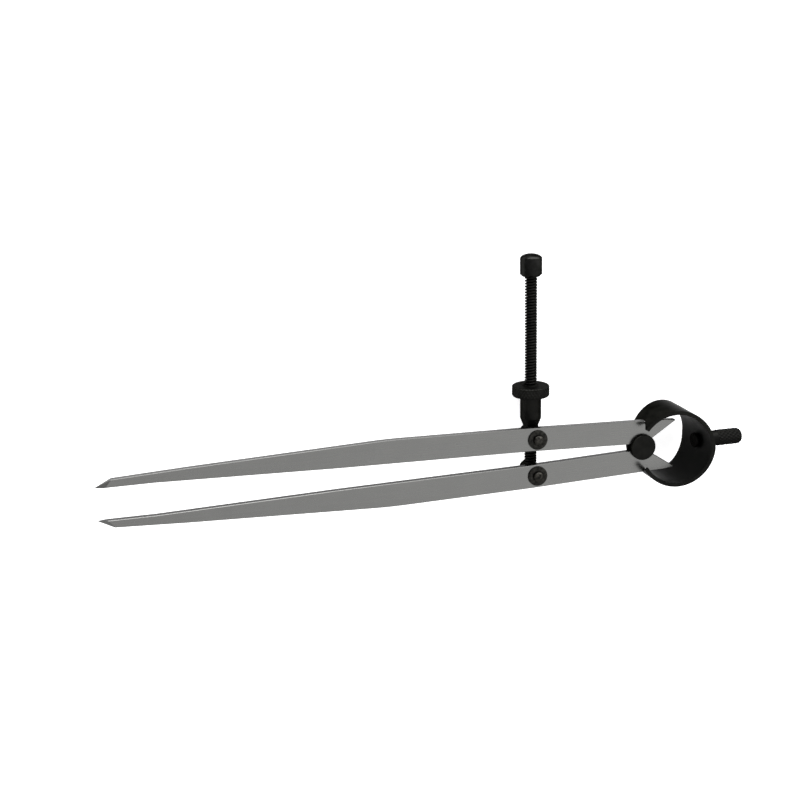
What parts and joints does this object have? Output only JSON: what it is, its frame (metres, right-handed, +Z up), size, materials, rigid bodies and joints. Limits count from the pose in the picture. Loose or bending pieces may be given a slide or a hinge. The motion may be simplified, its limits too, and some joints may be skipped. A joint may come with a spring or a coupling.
{
  "type": "spring dividers",
  "caption": "Spring dividers with straight flat pointed legs on a flanged roller, an open ring spring with a knurled handle, and a cross screw with a knurled thumb nut.",
  "frame": {"origin": "centre of the fulcrum roller's upper face, the face towards the camera; the middle of the legs' thickness is 3.95 mm below it", "axes": "+X along the line of symmetry, from the points to the handle; +Y across the legs, towards the adjusting screw's free end; +Z up, out of the face that lies uppermost"},
  "size_m": [0.363, 0.1342, 0.0381],
  "materials": {
    "bow_spring": "blackened steel, satin",
    "handle": "blackened steel, satin",
    "fulcrum_roller": "blackened steel, satin",
    "leg_upper": "ground and polished steel",
    "leg_lower": "ground and polished steel",
    "swivel_post_upper": "blackened steel, satin",
    "swivel_post_lower": "blackened steel, satin",
    "washer_upper": "blackened steel, satin",
    "washer_lower": "blackened steel, satin",
    "adjusting_screw": "blackened steel, satin",
    "screw_cap": "blackened steel, satin",
    "adjusting_nut": "blackened steel, satin"
  },
  "bodies": {
    "handle": {"bow_spring": "bow_spring", "handle": "handle"},
    "fulcrum": {"fulcrum_roller": "fulcrum_roller"},
    "leg_upper": {"leg_upper": "leg_upper"},
    "leg_lower": {"leg_lower": "leg_lower"},
    "post_upper": {"swivel_post_upper": "swivel_post_upper", "washer_upper": "washer_upper"},
    "post_lower": {"swivel_post_lower": "swivel_post_lower", "washer_lower": "washer_lower", "adjusting_screw": "adjusting_screw", "screw_cap": "screw_cap"},
    "nut": {"adjusting_nut": "adjusting_nut"}
  },
  "joints": [
    {"name": "fulcrum_slide", "type": "slide", "parent": "handle", "child": "fulcrum", "axis": [-1, 0, 0], "range_m": [-0.0004, 0.007]},
    {"name": "leg_upper_pivot", "type": "hinge", "parent": "fulcrum", "child": "leg_upper", "pos_m": [0, 0, -0.00395], "axis": [0, 0, -1], "range_deg": [-1.65, 29.25]},
    {"name": "leg_lower_pivot", "type": "hinge", "parent": "fulcrum", "child": "leg_lower", "pos_m": [0, 0, -0.00395], "axis": [0, 0, 1], "range_deg": [-1.66, 29.26]},
    {"name": "post_upper_swivel", "type": "hinge", "parent": "leg_upper", "child": "post_upper", "pos_m": [-0.06272, 0.0105, -0.00395], "axis": [0, 0, 1], "range_deg": [-1.66, 29.26]},
    {"name": "post_lower_swivel", "type": "hinge", "parent": "leg_lower", "child": "post_lower", "pos_m": [-0.06272, -0.0105, -0.00395], "axis": [0, 0, -1], "range_deg": [-1.66, 29.26]},
    {"name": "nut_spin", "type": "hinge", "parent": "post_upper", "child": "nut", "pos_m": [-0.06272, 0.0305, -0.01352], "axis": [0, 1, 0], "range_deg": [-751, 13300]}
  ],
  "couplings": [
    {"joint": "leg_lower_pivot", "follows": "leg_upper_pivot", "ratio": 1},
    {"joint": "post_upper_swivel", "follows": "leg_upper_pivot", "ratio": 1},
    {"joint": "post_lower_swivel", "follows": "leg_upper_pivot", "ratio": 1},
    {"joint": "nut_spin", "follows": "leg_upper_pivot", "ratio": 454.55},
    {"joint": "fulcrum_slide", "follows": "leg_upper_pivot", "m_per_rad": 0.01364}
  ]
}
